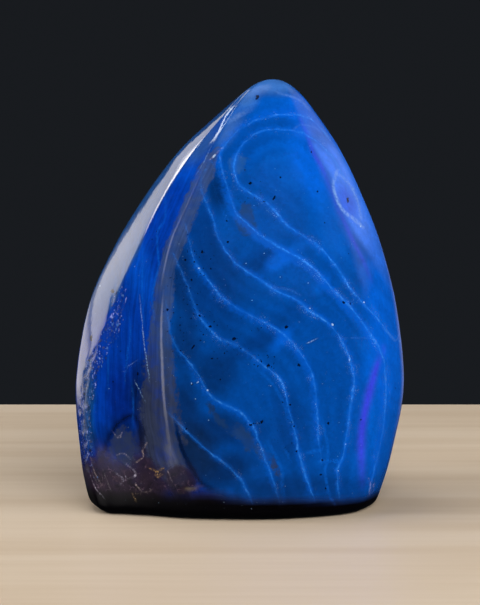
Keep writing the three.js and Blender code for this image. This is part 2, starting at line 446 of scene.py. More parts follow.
FRONT_WASHES = (
    Wash("crown middle", 9, 102.8, 10, 3.4, 0, CLEAR, 0.8),
    Wash("crown haze", 7.5, 108.8, 11, 3.4, 0, HAZE, 0.8),
    Wash("crown left haze", 1.6, 105.4, 3.6, 3.6, -40, HAZE, 0.7),
    Wash("crown left shoulder", -3.4, 97, 3, 7, -32, HAZE, 0.4),
    Wash("haze between the loops", 18.4, 97.2, 5, 2.6, 8, (62, 108, 226), 0.5, 0.5),
    Wash("crown right", 16, 101, 5, 6, 40, BRIGHT, 0.8),
    Wash("clear heart", 12, 90, 8.5, 9, 12, CLEAR, 0.8),
    Wash("heart right", 18.5, 84.5, 4.5, 13, 24, BRIGHT, 0.9),
    Wash("clear lower right", 23.5, 71, 6.5, 10, 30, CLEAR, 0.8),
    Wash("right shoulder", 36, 55, 5, 12, 14, BRIGHT, 0.75),
    # Partly painted light: the right flank is laid brighter where light falls on that side.
    Wash("right flank", 37.5, 38, 8, 24, 0, (3, 98, 218), 0.95),
    Wash("right foot", 34, 18, 8, 12, -6, CLEAR, 0.9),
    Wash("left side of the front", -7, 62, 8, 24, 12, DEEP, 0.55),
    Wash("left shade", -9.5, 72, 5.5, 12, 14, DEEP, 0.75),
    Wash("oval hollow", -6, 81.6, 2.9, 5.8, 8, (2, 48, 110), 0.98, 0.05),
    Wash("left shade by the ridge", -14.5, 60, 3.5, 12, 8, NAVY, 0.85),
    Wash("under the left sweep", -6, 57, 9, 8, 30, DEEP, 0.75),
    Wash("between outer loop and sweep", 4.5, 64, 7, 3.2, 30, DEEP, 0.85),
    Wash("under the inner loop", 4, 77, 4, 3, 30, MIDDLE_BLUE, 0.5),
    Wash("torn glow under outer loop", 11, 65.4, 7.5, 2.2, 32, BRIGHT, 0.8, 0.6),
    Wash("torn glow lower", 20.5, 58.6, 4, 1.8, 45, BRIGHT, 0.5, 0.6),
    Wash("glow in left hollow", -4, 71.5, 2, 5, 20, CLEAR, 0.45, 0.5),
    Wash("torn glow by middle sweep", 10.6, 45.8, 4.2, 2, 45, BRIGHT, 0.85, 0.5),
    Wash("below long sweep", 13, 51.5, 9, 2.8, 32, DEEP, 0.4),
    Wash("speckled shade", 3, 44, 8, 2.8, 30, DEEP, 0.8, 0.4),
    Wash("left lower shade", -6.5, 37, 7, 6.5, 25, (4, 51, 116), 0.85),
    Wash("shade by the ridge", -13.6, 44, 4.2, 8, 6, (6, 50, 114), 0.85),
    Wash("pool by the ridge", -13.2, 27, 4.6, 11, 8, NAVY, 0.85),
    Wash("teal by the ridge", -10.6, 34.5, 1.6, 5, 26, MIDDLE_BLUE, 0.7, 0.4),
    Wash("low shade", -6, 23, 7, 5, 20, NAVY, 0.8),
    Wash("low shade right", 2, 22, 6, 4, 25, DEEP, 0.7),
    Wash("low streaks", 12.5, 24, 4.5, 11, 8, DEEP, 0.65),
    Wash("foot shade left", -4, 13, 8, 5, 10, NAVY, 0.85),
    Wash("slate by the foot seam", -11, 17.5, 5, 8, 22, (14, 40, 80), 0.9),
    Wash("foot shade", 12, 8.5, 14, 3.6, 0, NAVY, 0.6),
    Wash("foot shade right", 26, 7.5, 9, 3.4, 0, DEEP, 0.6),
)

SIDE_WASHES = (
    Wash("side crown", -14, 88, 5, 10, 35, ROYAL, 0.8),
    Wash("side crown haze", -9.6, 93.4, 3, 7.5, -38, (46, 92, 162), 0.8),
    Wash("side by bevel", -27, 64, 4.5, 14, 25, ROYAL, 0.9),
    Wash("side lower", -30, 30, 7, 10, 0, SIDE_DEEP, 0.85),
    Wash("side low right", -24.5, 30, 3.6, 11, 6, SIDE_NAVY, 0.9, 0.4),
    Wash("side left strip", -36, 30, 3, 12, 2, SIDE_BLUE, 0.7),
    Wash("teal under the worn edge", -39, 27, 2.4, 13, 2, (14, 78, 134), 0.75, 0.5),
    Wash("side foot", -29, 20, 9, 5, 0, SIDE_NAVY, 0.7),
    Wash("grey by the ridge foot", -23, 20, 3.4, 9, 4, (34, 42, 66), 0.9, 0.3),
)

UMBER_WASHES = (
    Wash("umber left foot", -34, 6, 12, 11, -14, UMBER, 1, 0.3),
    Wash("umber middle foot", -24, 6, 9, 12, 8, UMBER, 1, 0.3),
    Wash("umber right foot", -10, 3.4, 13, 4.6, 0, (26, 18, 24), 1, 0.15),
    Wash("umber behind the seam", -15, 10, 5, 5, 30, (32, 27, 40), 1, 0.2),
)

# A painted highlight: a soft gleam across the umber foot.
GLEAM = Wash("soft gleam", -12.4, 8.2, 3, 0.5, 12, (96, 84, 72), 0.8, 0.12)

# Patches of veil with a sharp, torn edge; the ridge foot gleam among them is a painted highlight.
VEIL_PATCHES_AND_GLEAM = (
    Wash("veil low", 1.4, 21.2, 2.6, 4.6, 40, SLATE, 0.85, 0.9),
    Wash("veil low tail", 5.2, 17.4, 1.5, 4.4, 44, SLATE, 0.8, 0.8),
    Wash("veil low right", 8.6, 14, 1.3, 4, 30, (44, 62, 100), 0.75, 0.8),
    Wash("veil beside the foot sweep", -6.4, 27.4, 1.2, 7, 36, (26, 60, 112), 0.7, 0.7),
    Wash("veil in the corner", -0.6, 88.6, 3.4, 3.2, 20, (34, 90, 166), 0.8),
    Wash("veil under the inner loop", 1.6, 74.4, 3, 5.2, 24, SLATE, 1, 0.7),
    Wash("grey dome", -29.4, 17.4, 4.6, 6.4, 14, (47, 60, 94), 1, 0.2),
    Wash("ridge foot gleam", -17.2, 16, 1.7, 6, 12, (104, 110, 130), 1, 0.2),
)

# Middle of the mauve band along the ridge, a veil colour that is partly a painted reflection; the third
# value is its half width over the band's width, set at the top of the file.
RIDGE_VEIL_AND_SHEEN = GrowthLine("ridge veil", (
    (-5.5, 92, 0.1), (-7.4, 89.2, 0.2), (-8.6, 86.4, 0.28), (-10.2, 83, 0.29), (-11.8, 79.3, 0.28),
    (-13.4, 75.6, 0.28), (-15.6, 69.8, 0.28), (-17.2, 65.8, 0.26), (-18.4, 61, 0.27), (-19.2, 54.6, 0.32),
    (-19.8, 47, 0.34), (-19.8, 41, 0.42), (-20, 34, 0.52), (-20, 26, 0.62), (-19, 20.6, 0.66),
    (-17.8, 15.4, 0.56), (-16, 11.5, 0.4)))

DARK_SPECKS = specks(
    (4.4, 105.2, 0.55, 0.85, -25), (27.7, 79, 0.45, 0.8, 5), (26, 53.9, 0.5, 0.45),
    (11.5, 48.4, 0.55, 0.5, 20), (14.6, 39, 0.55, 0.5), (-1.5, 45.6, 0.6, 0.5, 30), (7, 39, 0.7, 0.5, 40),
    (5.4, 25.2, 0.45, 0.6, -30), (2.6, 24.4, 0.5, 0.36), (22, 24.2, 0.36, 0.42), (18.2, 91.3, 0.3, 0.34),
    (10.2, 85, 0.3, 0.26), (19.6, 81.4, 0.3, 0.32), (8.5, 79.9, 0.3, 0.75, -30), (20.5, 15, 0.36, 0.32),
    (20.2, 11.3, 0.36, 0.32), (21.4, 7.8, 0.32, 0.36), (13.4, 23.8, 0.34, 0.3), (14, 17.6, 0.3, 0.34),
    (12.4, 29.2, 0.34, 0.3), (-18, 52.6, 0.4, 0.4), (-10, 51.2, 0.42, 0.36), (-7.4, 48.6, 0.45, 0.42),
    (-3, 69.2, 0.36, 0.42, 30), (-32.6, 55.8, 0.55, 0.6), (-12, 60, 0.3, 0.36),
    (-11.6, 43.6, 0.3, 0.9, -35), (-38.4, 43.4, 0.6, 0.9), (-38.6, 38, 0.6, 0.6), (-13.6, 64.8, 0.34, 0.3),
    (-9.4, 66.8, 0.34, 0.5), (2.6, 83.6, 0.5, 0.4, 30), (-25.6, 36.2, 0.3, 0.5), (30.4, 24.4, 0.3, 0.3))

# The long speck at x -6.6 and z 90.3 is a painted highlight at the top of the ridge.
WHITE_SPECKS = specks(
    (31, 72.3, 0.3, 0.25, 20), (31.4, 53.6, 0.25, 0.25), (-8, 33, 0.27, 0.27), (-10.3, 35, 0.22, 0.16, 30),
    (-11, 30.8, 0.16, 0.14), (-36.6, 56.4, 0.25, 0.27), (-6.6, 90.3, 0.29, 0.72, -44),
    (-10.2, 62.8, 0.27, 0.18), (6, 66.4, 0.16, 0.14), (24.6, 12, 0.16, 0.14), (26.5, 18.6, 0.16, 0.14),
    (7.6, 34, 0.15, 0.13), (23.1, 48.6, 0.27, 0.43, 35), (17, 59, 0.14, 0.14), (10, 60.6, 0.14, 0.13),
    (27.4, 39.6, 0.18, 0.38, 10), (1.5, 64, 0.14, 0.13), (3, 55, 0.15, 0.14), (-12, 34.6, 0.13, 0.27),
    (17.4, 52.8, 0.22, 0.16))

EYE = Wash("eye", 27.5, 78.6, 2.5, 5.2, 24, (38, 84, 220), 1, 0.1)

# Parts of the front that swarm with small dark flecks.
FLECKED = (
    Wash("flecks by the middle sweep", 0, 46, 9, 4.5, 28, NAVY),
    Wash("flecks down the left", -9.5, 58, 5.5, 20, 8, NAVY, 0.8),
    Wash("flecks under the inner loop", 3.5, 81, 5.5, 4, 20, NAVY, 0.8),
    Wash("flecks in the middle", 6.5, 39.5, 5, 4, 35, NAVY, 0.9),
    Wash("flecks by the ridge", -16, 50, 3.5, 14, 2, NAVY, 0.8),
    Wash("flecks low right", 12, 22, 6, 10, 8, NAVY, 0.45),
)

# Painted glints of light on cracks and crystals in the umber foot, and painted highlights at the ridge's
# top and the right foot chip: white 1 is lilac, 0 is yellow.
FOOT_GLINTS = fine_lines(
    ("crooked crack", ((-23.6, 18.6, 0.5), (-24.5, 16.8, 0.9), (-24.1, 15.6, 0.8), (-25.7, 14.2, 0.6)),
     0.31, 0.6),
    ("white wedge", ((-28.2, 12.9, 0.4), (-26.6, 11.7, 1), (-26.2, 10.5, 0.9), (-27.5, 9.8, 0.5)),
     0.37, 0.95),
    ("yellow pair", ((-22.2, 12.6, 0.6), (-20.6, 12.1, 1), (-19.5, 12.9, 0.5)), 0.43, 0),
    ("yellow pair foot", ((-21, 10.9, 0.5), (-20.4, 10.5, 1), (-19.8, 11.1, 0.4)), 0.31, 0.05),
    ("lilac hair", ((-17.9, 12.2, 0.4), (-17.1, 10.4, 0.6)), 0.24, 0.8),
    ("lilac chip", ((-30.8, 10.4, 0.4), (-29.4, 9.4, 0.9), (-29.9, 8.4, 0.5)), 0.37, 1),
    ("pale crack", ((-25.9, 7.8, 0.6), (-24.9, 6.7, 1), (-23.4, 6.4, 0.6), (-22.6, 6.9, 0.3)), 0.31, 0.6),
    ("yellow dot", ((-27, 5.6, 0.5), (-26.5, 4.6, 0.9)), 0.31, 0.15),
    ("left brown line", ((-37.9, 13.8, 0.3), (-36.9, 10.6, 0.7), (-35.3, 8, 0.4)), 0.25, 0.6),
    ("left lilac line", ((-38.3, 10.4, 0.3), (-36.9, 7, 0.8), (-34.8, 4.8, 0.5)), 0.25, 0.9),
    ("left fine line", ((-34.5, 10.8, 0.3), (-33, 7.2, 0.5)), 0.24, 0.8),
    ("dome scratch", ((-31.9, 20.8, 0.3), (-30.5, 19.5, 0.7), (-29.9, 20.6, 0.4)), 0.25, 0.9),
    ("dome beads", ((-30.6, 15.5, 0.5), (-29.2, 15.9, 0.8), (-27.9, 14.8, 0.5)), 0.31, 0.9),
    ("right foot chip", ((32.8, 8.4, 0.3), (33.3, 6.4, 0.5), (33, 4.6, 0.3)), 0.5, 1),
    ("right foot hair", ((34.4, 7.8, 0.2), (34.1, 5, 0.4)), 0.24, 1),
    ("ridge gleam", ((-7.3, 89.6, 0.6), (-6.4, 90.6, 1), (-4.8, 92, 0.3)), 0.34, 0.8),
)


class Mottle(Enum):
    """The coordinate layers that the stone's vertices carry for its finish."""

    TONE = "amber_tone"
    # Veils, with the partly painted reflection along the ridge and a painted highlight at its foot.
    VEIL = "amber_veil_and_sheen"
    OUTER = "amber_outer_lines"
    INNER = "amber_inner_lines"
    FINE = "amber_fine_lines"
    THIN = "amber_thin_lines"
    GLINT = "amber_glints"
    DARK = "amber_dark_specks"
    WHITE = "amber_white_specks"
    AREAS = "amber_areas"
    # Wear, and the share of the partly painted reflection along the ridge.
    WEAR = "amber_wear_and_sheen"


class AmberPattern:
    """Lays the pattern of the stone over the points of its surface.

    Attributes:
        points: places of the vertices in millimetres.
        sheet: x and z of each point, bent a little on the back so that the lines wander there.
        blot: noise from -1 to 1 that frays the edges.
        front: 1 on the front and 0 on the back.
        side_share: 0 on the front and 1 on the left flank past the ridge.
    """

    def __init__(self, points: np.ndarray) -> None:
        """Takes the points and works out what every layer needs.

        Args:
            points: places of the vertices in millimetres.
        """
        self.points = points
        depth = np.maximum(points[:, 1], 0.0)
        back = smooth_step(depth, 0.0, 14.0)
        self.sheet = np.stack([
            points[:, 0] + 0.30 * depth + 2.2 * wander(points, 26.0, 3.7) * back,
            points[:, 2] - 0.35 * depth + 3.0 * wander(points, 24.0, 9.1) * back], axis=1)
        self.blot = (0.55 * wander(points, 6.0, 1.3) + 0.30 * wander(points, 2.4, 5.9)
                     + 0.15 * wander(points, 1.2, 8.2))
        self.front = smooth_step(points[:, 1], 6.0, 3.0)
        self.side_share = smooth_step(0.5 * self.blot - self._near(RIDGE).side, -0.8, 1.6)
        # The mauve band along the ridge is partly a painted reflection.
        self.along_ridge = self._near(RIDGE_VEIL_AND_SHEEN)
        gap = self.along_ridge.reach / (VEIL_AND_SHEEN_WIDTH * self.along_ridge.brightness + 0.01)
        self.ridge_veil_and_sheen = smooth_step(gap + 0.25 * self.blot, 1.6, 0.4)
        worn = self._near(WORN_EDGE)
        self.worn = worn.brightness * smooth_step(worn.reach + 0.6 * self.blot, 2.6, 0.8)
        self.worn *= points[:, 1] < 4.0

    def layers(self) -> dict[Mottle, np.ndarray]:
        """Works out every layer.

        Returns:
            The values of each layer at each point.
        """
        body, umber = self._tone()
        flecked = self._most(FLECKED) * self.front
        return {
            Mottle.TONE: body,
            Mottle.VEIL: self._veil(),
            Mottle.OUTER: self._growth(OUTER_LINES),
            Mottle.INNER: self._growth(INNER_LINES),
            Mottle.FINE: self._hairs(FINE_LINES, 1.3),
            Mottle.THIN: self._hairs(THIN_LINES, 0.9),
            Mottle.GLINT: self._hairs(FOOT_GLINTS, 0.9),
            Mottle.DARK: self._specks(DARK_SPECKS),
            Mottle.WHITE: self._specks(WHITE_SPECKS),
            Mottle.AREAS: np.stack([self.side_share, umber, flecked], axis=1),
            Mottle.WEAR: np.stack([self.worn, self.ridge_veil_and_sheen, 0.1 * self.along_ridge.side], axis=1),
        }

    def _near(self, *lines: GrowthLine) -> LineFamily:
        """What the nearest of some lines says at each point."""
        return LineFamily(self.sheet, *lines)

    def _cover(self, wash: Wash) -> np.ndarray:
        """Cover of one wash at each point."""
        return wash.cover(self.sheet, self.blot)

    def _most(self, washes: Sequence[Wash]) -> np.ndarray:
        """The largest cover of some washes at each point."""
        return np.max([self._cover(wash) for wash in washes], axis=0)

    def _wash(self, body: np.ndarray, washes: Sequence[Wash]) -> np.ndarray:
        """Lays washes over a body colour, one after another."""
        return reduce(lambda under, wash: lay_over(under, wash.colour, self._cover(wash)), washes,
                      body)

    def _growth(self, lines: Sequence[GrowthLine]) -> np.ndarray:
        """Works out a family of growth lines.

        Args:
            lines: the lines of the family.

        Returns:
            Signed distance, brightness and glow at each point.
        """
        near = self._near(*lines)
        width = np.where(near.side > 0.0, near.trait("glow_left"), near.trait("glow_right"))
        width = np.maximum(width * (1.0 + 0.5 * self.blot), 0.4)
        glow = near.trait("glow") * near.brightness * np.exp(-(near.reach / width) ** 2)
        keep = (1.0 - 0.85 * self.side_share) * smooth_step(self.points[:, 2], 3.6, 7.5)
        bright = near.brightness * smooth_step(near.reach, 3.2, 2.2)
        return np.stack([near.side, bright * keep, glow * keep], axis=1)

    def _hairs(self, lines: Sequence[GrowthLine], reach: float) -> np.ndarray:
        """Works out a family of fine lines.

        Args:
            lines: the fine lines.
            reach: how far a line is felt, in millimetres.

        Returns:
            Signed distance over the width, brightness and whiteness at each point.
        """
        near = self._near(*lines)
        mask = smooth_step(near.reach, reach, 0.6 * reach) * self.front
        return np.stack([near.side / near.trait("width"), near.brightness * mask,
                         near.trait("white")], axis=1)

    def _tone(self) -> tuple[np.ndarray, np.ndarray]:
        """Works out the body colour, with the painted shade along the underside and the painted gleam on
        the foot.

        Returns:
            The colour with the dull share as its alpha, and the share of the umber foot.
        """
        front = lay_over(self._wash(linear(MIDDLE_BLUE), FRONT_WASHES), PALE, self._pale_flank())
        front = lay_over(front, EYE.colour, 0.7 * self._cover(EYE))
        side = lay_over(self._wash(linear(SIDE_BLUE), SIDE_WASHES), BEVEL, self._bevel())
        share = self.side_share[:, None]
        body = front * (1.0 - share) + side * share
        for lines, colour in ((VIOLET_SEAMS, VIOLET), (DARK_SEAMS, SEAM)):
            body = lay_over(body, colour, self._seam(lines))
        # Painted shade: the underside of the foot is laid black.
        foot = self._foot()
        body = lay_over(self._wash(body, UMBER_WASHES), UNDERSIDE_SHADE, foot)
        # Painted highlight: the soft gleam across the foot.
        body = self._wash(body, (GLEAM,))
        umber = self._most(UMBER_WASHES)
        dull = np.maximum(umber, foot)[:, None]
        return np.hstack([body, dull]), umber * (1.0 - foot) * (1.0 - self._cover(GLEAM))

    def _foot(self) -> np.ndarray:
        """Works out the painted shade along the underside: a black rim that thins out to the right.

        Returns:
            The share of the painted shade at each point.
        """
        right = smooth_step(self.points[:, 0], -16.0, 8.0)
        far = 1.2 * smooth_step(self.points[:, 0], 10.0, 34.0)
        height = self.points[:, 2] + 0.5 * self.blot
        return smooth_step(height, SHADE_TOP - 1.6 * right - far, SHADE_FULL - 0.1 * right - far)

    def _bevel(self) -> np.ndarray:
        """Share of the long ground bevel on the left, which has a greyer blue."""
        share = smooth_step(0.2 * self.blot - self._near(BEVEL_EDGE).side, -0.5, 0.6)
        return share * smooth_step(self.sheet[:, 1], 36.0, 58.0)

    def _pale_flank(self) -> np.ndarray:
        """Works out the pale cornflower flank, sharp on its left and soft elsewhere.

        Returns:
            The share of the flank at each point.
        """
        share = smooth_step(self._near(PALE_SIDE).side + 0.5 * self.blot, -0.2, 1.6)
        z = self.sheet[:, 1] + 3.0 * self.blot
        share = share * smooth_step(z, 50.0, 72.0) * smooth_step(z, 99.0, 90.0)
        return 0.95 * share * smooth_step(self.points[:, 1], 18.0, 4.0)

    def _seam(self, lines: Sequence[GrowthLine]) -> np.ndarray:
        """Works out the soft cover of a family of seams.

        Args:
            lines: the seams.

        Returns:
            Their cover at each point.
        """
        near = self._near(*lines)
        reach = near.reach / (near.trait("width") * (1.0 + 0.3 * self.blot))
        return 0.85 * near.brightness * np.exp(-reach ** 2) * self.front

    def _veil(self) -> np.ndarray:
        """Mixes the veils by the square of their covers: the mauve band along the ridge, which is partly a
        painted reflection, and the patches, one of them a painted highlight.

        Returns:
            The colour of the nearest veil, with its soft cover in the last channel.
        """
        tone = lay_over(linear(VEIL_AND_SHEEN_HIGH), VEIL_AND_SHEEN_LOW, smooth_step(self.sheet[:, 1], 50.0, 32.0))
        cover = self.ridge_veil_and_sheen
        weight = (cover ** 2 + 1e-6)[:, None]
        total = tone * weight
        for wash in VEIL_PATCHES_AND_GLEAM:
            share = self._cover(wash)
            cover = np.maximum(cover, share)
            total = total + linear(wash.colour) * (share ** 2)[:, None]
            weight = weight + (share ** 2)[:, None]
        cover = cover * (1.0 - self._seam(DARK_SEAMS)) * self.front
        return np.hstack([total / weight, cover[:, None]])

    def _specks(self, flecks: Sequence[Speck]) -> np.ndarray:
        """Finds the nearest speck for each point.

        Args:
            flecks: the specks, by place, size and lean.

        Returns:
            The offset from it in its own half widths, and a mask around it.
        """
        best = np.full(len(self.points), 99.0)
        values = np.zeros((len(self.points), 3))
        for speck in flecks:
            gap = np.hypot(self.sheet[:, 0] - speck.x, self.sheet[:, 1] - speck.z)
            mask = (gap < 1.0 + max(speck.wide, speck.high)) * self.front
            nearer = gap < best
            values[nearer] = np.stack([*speck.offset(self.sheet), mask], axis=1)[nearer]
            best = np.minimum(best, gap)
        return values


# --------------------------------------------------------------------------
# The finish
# --------------------------------------------------------------------------

Socket = bpy.types.NodeSocket
Wire = Socket | float | Sequence[float]


class NodeBench:
    """Short hand for laying out a shader's nodes."""

    def __init__(self, owner: bpy.types.ID, scale: Colour | None = None) -> None:
        """Clears the owner's tree and starts on it.

        Args:
            owner: the material or lamp to work on.
            scale: what its object's coordinates are multiplied by, if they are read at all.
        """
        owner.use_nodes = True
        self.tree = owner.node_tree
        self.tree.nodes.clear()
        self.count = 0
        if scale:
            place = self.add("ShaderNodeTexCoord").outputs["Object"]
            self.spot = self.stretch(place, scale, "place on the object")

    def add(self, kind: str, wires: dict | None = None, label: str = "",
            **settings: object) -> bpy.types.Node:
        """Adds one node.

        Args:
            kind: Blender's name of the node type.
            wires: what goes into its sockets, by their names or numbers.
            label: a word that says what the node is for.
            settings: the node's own options.

        Returns:
            The new node.
        """
        node = self.tree.nodes.new(kind)
        node.label = label
        node.location = (220.0 * (self.count // 8), -190.0 * (self.count % 8))
        self.count += 1
        for name, value in settings.items():
            setattr(node, name, value)
        for name, value in (wires or {}).items():
            self.feed(node.inputs[name], value)
        return node

    def feed(self, socket: Socket, value: Wire) -> None:
        """Links a socket to another one, or sets it to a number or colour.

        Args:
            socket: the socket to feed.
            value: another socket, a number or a colour.
        """
        if isinstance(value, Socket):
            self.tree.links.new(value, socket)
        else:
            socket.default_value = value

    def sum(self, operation: str, *values: Wire, clamp: bool = False) -> Socket:
        """Does one step of arithmetic and returns its result."""
        wires = dict(enumerate(values))
        return self.add("ShaderNodeMath", wires, operation=operation, use_clamp=clamp).outputs[0]

    def times(self, first: Wire, *others: Wire) -> Wire:
        """Multiplies numbers."""
        return reduce(lambda one, two: self.sum("MULTIPLY", one, two), others, first)

    def most(self, first: Wire, *others: Wire) -> Wire:
        """The largest of some numbers."""
        return reduce(lambda one, two: self.sum("MAXIMUM", one, two), others, first)

    def band(self, value: Wire, low: float, high: float,
             start: float = 0.0, end: float = 1.0) -> Socket:
        """Turns a value into a soft step.

        Args:
            value: what is stepped.
            low, high: where the step begins and ends; it falls where low is the larger.
            start, end: results before and after it.

        Returns:
            The stepped value.
        """
        if low > high:
            low, high, start, end = high, low, end, start
        wires = {"Value": value, "From Min": low, "From Max": high, "To Min": start, "To Max": end}
        node = self.add("ShaderNodeMapRange", wires, interpolation_type="SMOOTHSTEP", clamp=True)
        return node.outputs["Result"]

    def noise(self, scale: float, detail: float = 2.0, rough: float = 0.5,
              distort: float = 0.0, place: Socket | None = None) -> Socket:
        """Adds smooth noise.

        Args:
            scale: blotches per unit of place.
            detail, rough, distort: layers of finer noise, their strength, and how far they swirl.
            place: where it is read, the place on the object if it is left out.

        Returns:
            A value from 0 to 1.
        """
        wires = {"Vector": place or self.spot, "Scale": scale, "Detail": detail, "Roughness": rough,
                 "Distortion": distort}
        return self.add("ShaderNodeTexNoise", wires).outputs["Fac"]

    def patches(self, scale: float, detail: float, rough: float, low: float, high: float,
                start: float = 0.0, end: float = 1.0) -> Socket:
        """Noise that is cut to a soft step, so that it leaves patches."""
        return self.band(self.noise(scale, detail, rough), low, high, start, end)

    def drift(self, scale: float, detail: float, rough: float, reach: float) -> Socket:
        """Noise that sways between minus and plus its reach."""
        return self.sum("MULTIPLY_ADD", self.noise(scale, detail, rough), 2.0 * reach, -reach)

    def cells(self, place: Wire, scale: float) -> tuple[Socket, Sequence[Socket]]:
        """Cells for flecks: the distance from the middle, and three values that differ by cell."""
        node = self.add("ShaderNodeTexVoronoi", {"Vector": place, "Scale": scale})
        return node.outputs["Distance"], self.split(node.outputs["Color"])

    def layer(self, mottle: Mottle) -> bpy.types.Node:
        """Reads one of the layers that the vertices carry."""
        return self.add("ShaderNodeAttribute", label=mottle.value, attribute_name=mottle.value)

    def split(self, vector: Wire) -> Sequence[Socket]:
        """Takes a vector apart into its three values."""
        return self.add("ShaderNodeSeparateXYZ", {0: vector}).outputs

    def values(self, mottle: Mottle) -> Sequence[Socket]:
        """Reads the three values of one of the layers."""
        return self.split(self.layer(mottle).outputs["Vector"])

    def stretch(self, place: Wire, scale: Colour, label: str, lean: float = 0.0) -> Socket:
        """Scales a place along each axis, turned about the depth by lean in radians."""
        wires = {"Vector": place, "Rotation": (0.0, lean, 0.0), "Scale": scale}
        return self.add("ShaderNodeMapping", wires, label).outputs["Vector"]

    def warp(self, place: Wire, scale: float, amount: float) -> Socket:
        """Shifts a place by noise, so that what is laid there gets a ragged outline.

        Args:
            place: the place to shift.
            scale: blotches per unit of place.
            amount: how far it goes.

        Returns:
            The shifted place.
        """
        shift = self.add("ShaderNodeTexNoise", {"Vector": place, "Scale": scale}).outputs["Color"]
        wires = {0: shift, 1: (amount, amount, amount), 2: place}
        return self.add("ShaderNodeVectorMath", wires, operation="MULTIPLY_ADD").outputs[0]

    def brighten(self, colour: Wire, factor: Wire) -> Socket:
        """Multiplies a colour by one number."""
        wires = {0: colour, "Scale": factor}
        return self.add("ShaderNodeVectorMath", wires, operation="SCALE").outputs[0]

    def between(self, share: Wire, first: Wire, second: Wire) -> Socket:
        """Mixes two numbers by a share from 0 to 1."""
        wires = {0: share, 2: first, 3: second}
        return self.add("ShaderNodeMix", wires, data_type="FLOAT", clamp_factor=True).outputs[0]

    def blend(self, share: Wire, first: Wire, second: Wire) -> Socket:
        """Mixes two colours, each a link or a screen colour.

        Args:
            share: from 0 to 1.
            first, second: what shows at 0 and at 1.

        Returns:
            The mixed colour.
        """
        first, second = (paint(side) if isinstance(side, tuple) else side for side in (first, second))
        wires = {0: share, 6: first, 7: second}
        return self.add("ShaderNodeMix", wires, data_type="RGBA", clamp_factor=True).outputs[2]


